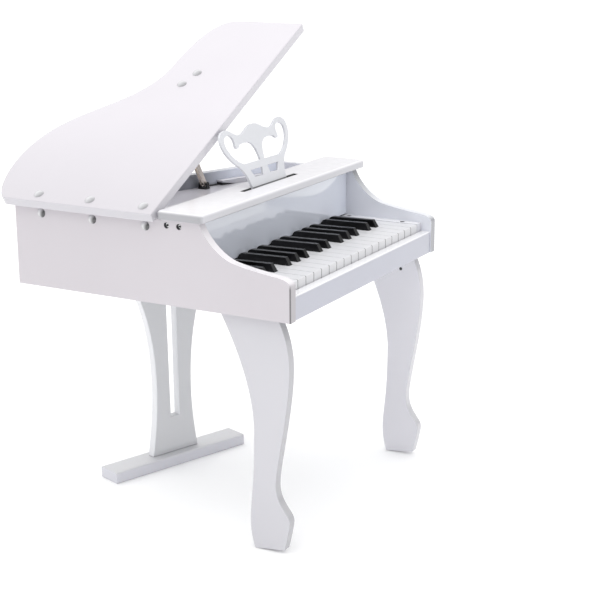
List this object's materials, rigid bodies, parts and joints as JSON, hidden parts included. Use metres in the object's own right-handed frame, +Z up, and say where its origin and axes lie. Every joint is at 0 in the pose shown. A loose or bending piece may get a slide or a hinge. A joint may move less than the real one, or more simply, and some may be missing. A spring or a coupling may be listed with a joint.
{
  "type": "miniature grand piano",
  "caption": "Miniature grand piano with pivoting keys that strike tone rods, a hinged lid on a folding stay, a lift-out music stand, cabriole front legs and a slotted rear post on a foot bar.",
  "frame": {"origin": "on the floor, under the middle of the whole outline with the lid open", "axes": "+X to the player's right, +Y away from the player, +Z up"},
  "size_m": [0.5375, 0.537, 0.7488],
  "materials": {
    "white_lacquer": "gloss white lacquer on board",
    "inner_lacquer": "gloss white lacquer on board, in shade",
    "rail_lacquer": "gloss white lacquer on board",
    "fallboard_lacquer": "gloss white lacquer on board",
    "raw_wood": "plain sanded softwood",
    "white_key_plastic": "satin white plastic",
    "black_key_plastic": "gloss black plastic",
    "cap_plastic": "gloss white plastic",
    "dark_steel": "blackened steel",
    "black_metal": "black painted steel",
    "bare_steel": "bright steel",
    "stay_metal": "warm nickel plate",
    "cast_block": "plain casting"
  },
  "bodies": {
    "case": {"left_side_panel": "white_lacquer", "right_side_panel": "white_lacquer", "back_panel": "inner_lacquer", "bottom_panel": "inner_lacquer", "inner_deck": "inner_lacquer", "front_rail": "rail_lacquer", "key_blocks": "white_lacquer", "fallboard": "fallboard_lacquer", "top_board": "white_lacquer", "side_caps": "cap_plastic", "side_bolts": "dark_steel", "wood_screws": "dark_steel", "hinge_case_leaves": "bare_steel", "hinge_pins": "bare_steel", "stay_foot_bracket": "black_metal", "left_front_leg": "white_lacquer", "right_front_leg": "white_lacquer", "rear_leg_post": "white_lacquer", "rear_foot_bar": "white_lacquer", "key_frame": "raw_wood", "key_pivot_rod": "bare_steel", "tone_rod_block": "cast_block", "tone_rods": "bare_steel"},
    "lid": {"lid": "white_lacquer", "lid_caps": "cap_plastic", "hinge_lid_leaves": "bare_steel", "stay_lid_bracket": "stay_metal"},
    "music_stand": {"music_stand": "white_lacquer"},
    "stay_lower": {"stay_lower_arm": "stay_metal"},
    "stay_upper": {"stay_upper_arm": "stay_metal"},
    "white_key_1": {"white_key_1": "white_key_plastic"},
    "white_key_2": {"white_key_2": "white_key_plastic"},
    "white_key_3": {"white_key_3": "white_key_plastic"},
    "white_key_4": {"white_key_4": "white_key_plastic"},
    "white_key_5": {"white_key_5": "white_key_plastic"},
    "white_key_6": {"white_key_6": "white_key_plastic"},
    "white_key_7": {"white_key_7": "white_key_plastic"},
    "white_key_8": {"white_key_8": "white_key_plastic"},
    "white_key_9": {"white_key_9": "white_key_plastic"},
    "white_key_10": {"white_key_10": "white_key_plastic"},
    "white_key_11": {"white_key_11": "white_key_plastic"},
    "white_key_12": {"white_key_12": "white_key_plastic"},
    "white_key_13": {"white_key_13": "white_key_plastic"},
    "white_key_14": {"white_key_14": "white_key_plastic"},
    "white_key_15": {"white_key_15": "white_key_plastic"},
    "white_key_16": {"white_key_16": "white_key_plastic"},
    "white_key_17": {"white_key_17": "white_key_plastic"},
    "white_key_18": {"white_key_18": "white_key_plastic"},
    "black_key_1": {"black_key_1": "black_key_plastic"},
    "black_key_2": {"black_key_2": "black_key_plastic"},
    "black_key_3": {"black_key_3": "black_key_plastic"},
    "black_key_4": {"black_key_4": "black_key_plastic"},
    "black_key_5": {"black_key_5": "black_key_plastic"},
    "black_key_6": {"black_key_6": "black_key_plastic"},
    "black_key_7": {"black_key_7": "black_key_plastic"},
    "black_key_8": {"black_key_8": "black_key_plastic"},
    "black_key_9": {"black_key_9": "black_key_plastic"},
    "black_key_10": {"black_key_10": "black_key_plastic"},
    "black_key_11": {"black_key_11": "black_key_plastic"},
    "black_key_12": {"black_key_12": "black_key_plastic"}
  },
  "joints": [
    {"name": "lid_hinge", "type": "hinge", "parent": "case", "child": "lid", "pos_m": [-0.2486, 0, 0.492], "axis": [0, -1, 0], "range_deg": [-27.5, 0]},
    {"name": "music_stand_lift", "type": "slide", "parent": "case", "child": "music_stand", "axis": [0, 0.3338, 0.9426], "range_m": [0, 0.015]},
    {"name": "stay_lower_hinge", "type": "hinge", "parent": "case", "child": "stay_lower", "pos_m": [0.0695, 0.0797, 0.484], "axis": [0, -1, 0], "range_deg": [-0.5, 53.85]},
    {"name": "stay_upper_hinge", "type": "hinge", "parent": "lid", "child": "stay_upper", "pos_m": [0.04532, 0.0797, 0.64444], "axis": [0, -1, 0], "range_deg": [-51.4, 0.5]},
    {"name": "white_key_1_pivot", "type": "hinge", "parent": "case", "child": "white_key_1", "pos_m": [0, -0.0835, 0.408], "axis": [1, 0, 0], "range_deg": [0, 2.2], "stiffness_Nm_per_rad": 1, "springref_deg": -2.58},
    {"name": "white_key_2_pivot", "type": "hinge", "parent": "case", "child": "white_key_2", "pos_m": [0, -0.0835, 0.408], "axis": [1, 0, 0], "range_deg": [0, 2.2], "stiffness_Nm_per_rad": 1, "springref_deg": -2.58},
    {"name": "white_key_3_pivot", "type": "hinge", "parent": "case", "child": "white_key_3", "pos_m": [0, -0.0835, 0.408], "axis": [1, 0, 0], "range_deg": [0, 2.2], "stiffness_Nm_per_rad": 1, "springref_deg": -2.58},
    {"name": "white_key_4_pivot", "type": "hinge", "parent": "case", "child": "white_key_4", "pos_m": [0, -0.0835, 0.408], "axis": [1, 0, 0], "range_deg": [0, 2.2], "stiffness_Nm_per_rad": 1, "springref_deg": -2.58},
    {"name": "white_key_5_pivot", "type": "hinge", "parent": "case", "child": "white_key_5", "pos_m": [0, -0.0835, 0.408], "axis": [1, 0, 0], "range_deg": [0, 2.2], "stiffness_Nm_per_rad": 1, "springref_deg": -2.58},
    {"name": "white_key_6_pivot", "type": "hinge", "parent": "case", "child": "white_key_6", "pos_m": [0, -0.0835, 0.408], "axis": [1, 0, 0], "range_deg": [0, 2.2], "stiffness_Nm_per_rad": 1, "springref_deg": -2.58},
    {"name": "white_key_7_pivot", "type": "hinge", "parent": "case", "child": "white_key_7", "pos_m": [0, -0.0835, 0.408], "axis": [1, 0, 0], "range_deg": [0, 2.2], "stiffness_Nm_per_rad": 1, "springref_deg": -2.58},
    {"name": "white_key_8_pivot", "type": "hinge", "parent": "case", "child": "white_key_8", "pos_m": [0, -0.0835, 0.408], "axis": [1, 0, 0], "range_deg": [0, 2.2], "stiffness_Nm_per_rad": 1, "springref_deg": -2.58},
    {"name": "white_key_9_pivot", "type": "hinge", "parent": "case", "child": "white_key_9", "pos_m": [0, -0.0835, 0.408], "axis": [1, 0, 0], "range_deg": [0, 2.2], "stiffness_Nm_per_rad": 1, "springref_deg": -2.58},
    {"name": "white_key_10_pivot", "type": "hinge", "parent": "case", "child": "white_key_10", "pos_m": [0, -0.0835, 0.408], "axis": [1, 0, 0], "range_deg": [0, 2.2], "stiffness_Nm_per_rad": 1, "springref_deg": -2.58},
    {"name": "white_key_11_pivot", "type": "hinge", "parent": "case", "child": "white_key_11", "pos_m": [0, -0.0835, 0.408], "axis": [1, 0, 0], "range_deg": [0, 2.2], "stiffness_Nm_per_rad": 1, "springref_deg": -2.58},
    {"name": "white_key_12_pivot", "type": "hinge", "parent": "case", "child": "white_key_12", "pos_m": [0, -0.0835, 0.408], "axis": [1, 0, 0], "range_deg": [0, 2.2], "stiffness_Nm_per_rad": 1, "springref_deg": -2.58},
    {"name": "white_key_13_pivot", "type": "hinge", "parent": "case", "child": "white_key_13", "pos_m": [0, -0.0835, 0.408], "axis": [1, 0, 0], "range_deg": [0, 2.2], "stiffness_Nm_per_rad": 1, "springref_deg": -2.58},
    {"name": "white_key_14_pivot", "type": "hinge", "parent": "case", "child": "white_key_14", "pos_m": [0, -0.0835, 0.408], "axis": [1, 0, 0], "range_deg": [0, 2.2], "stiffness_Nm_per_rad": 1, "springref_deg": -2.58},
    {"name": "white_key_15_pivot", "type": "hinge", "parent": "case", "child": "white_key_15", "pos_m": [0, -0.0835, 0.408], "axis": [1, 0, 0], "range_deg": [0, 2.2], "stiffness_Nm_per_rad": 1, "springref_deg": -2.58},
    {"name": "white_key_16_pivot", "type": "hinge", "parent": "case", "child": "white_key_16", "pos_m": [0, -0.0835, 0.408], "axis": [1, 0, 0], "range_deg": [0, 2.2], "stiffness_Nm_per_rad": 1, "springref_deg": -2.58},
    {"name": "white_key_17_pivot", "type": "hinge", "parent": "case", "child": "white_key_17", "pos_m": [0, -0.0835, 0.408], "axis": [1, 0, 0], "range_deg": [0, 2.2], "stiffness_Nm_per_rad": 1, "springref_deg": -2.58},
    {"name": "white_key_18_pivot", "type": "hinge", "parent": "case", "child": "white_key_18", "pos_m": [0, -0.0835, 0.408], "axis": [1, 0, 0], "range_deg": [0, 2.2], "stiffness_Nm_per_rad": 1, "springref_deg": -2.58},
    {"name": "black_key_1_pivot", "type": "hinge", "parent": "case", "child": "black_key_1", "pos_m": [0, -0.0835, 0.408], "axis": [1, 0, 0], "range_deg": [0, 2.2], "stiffness_Nm_per_rad": 1, "springref_deg": -2.58},
    {"name": "black_key_2_pivot", "type": "hinge", "parent": "case", "child": "black_key_2", "pos_m": [0, -0.0835, 0.408], "axis": [1, 0, 0], "range_deg": [0, 2.2], "stiffness_Nm_per_rad": 1, "springref_deg": -2.58},
    {"name": "black_key_3_pivot", "type": "hinge", "parent": "case", "child": "black_key_3", "pos_m": [0, -0.0835, 0.408], "axis": [1, 0, 0], "range_deg": [0, 2.2], "stiffness_Nm_per_rad": 1, "springref_deg": -2.58},
    {"name": "black_key_4_pivot", "type": "hinge", "parent": "case", "child": "black_key_4", "pos_m": [0, -0.0835, 0.408], "axis": [1, 0, 0], "range_deg": [0, 2.2], "stiffness_Nm_per_rad": 1, "springref_deg": -2.58},
    {"name": "black_key_5_pivot", "type": "hinge", "parent": "case", "child": "black_key_5", "pos_m": [0, -0.0835, 0.408], "axis": [1, 0, 0], "range_deg": [0, 2.2], "stiffness_Nm_per_rad": 1, "springref_deg": -2.58},
    {"name": "black_key_6_pivot", "type": "hinge", "parent": "case", "child": "black_key_6", "pos_m": [0, -0.0835, 0.408], "axis": [1, 0, 0], "range_deg": [0, 2.2], "stiffness_Nm_per_rad": 1, "springref_deg": -2.58},
    {"name": "black_key_7_pivot", "type": "hinge", "parent": "case", "child": "black_key_7", "pos_m": [0, -0.0835, 0.408], "axis": [1, 0, 0], "range_deg": [0, 2.2], "stiffness_Nm_per_rad": 1, "springref_deg": -2.58},
    {"name": "black_key_8_pivot", "type": "hinge", "parent": "case", "child": "black_key_8", "pos_m": [0, -0.0835, 0.408], "axis": [1, 0, 0], "range_deg": [0, 2.2], "stiffness_Nm_per_rad": 1, "springref_deg": -2.58},
    {"name": "black_key_9_pivot", "type": "hinge", "parent": "case", "child": "black_key_9", "pos_m": [0, -0.0835, 0.408], "axis": [1, 0, 0], "range_deg": [0, 2.2], "stiffness_Nm_per_rad": 1, "springref_deg": -2.58},
    {"name": "black_key_10_pivot", "type": "hinge", "parent": "case", "child": "black_key_10", "pos_m": [0, -0.0835, 0.408], "axis": [1, 0, 0], "range_deg": [0, 2.2], "stiffness_Nm_per_rad": 1, "springref_deg": -2.58},
    {"name": "black_key_11_pivot", "type": "hinge", "parent": "case", "child": "black_key_11", "pos_m": [0, -0.0835, 0.408], "axis": [1, 0, 0], "range_deg": [0, 2.2], "stiffness_Nm_per_rad": 1, "springref_deg": -2.58},
    {"name": "black_key_12_pivot", "type": "hinge", "parent": "case", "child": "black_key_12", "pos_m": [0, -0.0835, 0.408], "axis": [1, 0, 0], "range_deg": [0, 2.2], "stiffness_Nm_per_rad": 1, "springref_deg": -2.58}
  ],
  "couplings": [
    {"joint": "stay_lower_hinge", "follows": "lid_hinge", "ratio": -1.94},
    {"joint": "stay_upper_hinge", "follows": "lid_hinge", "ratio": 1.8511}
  ]
}
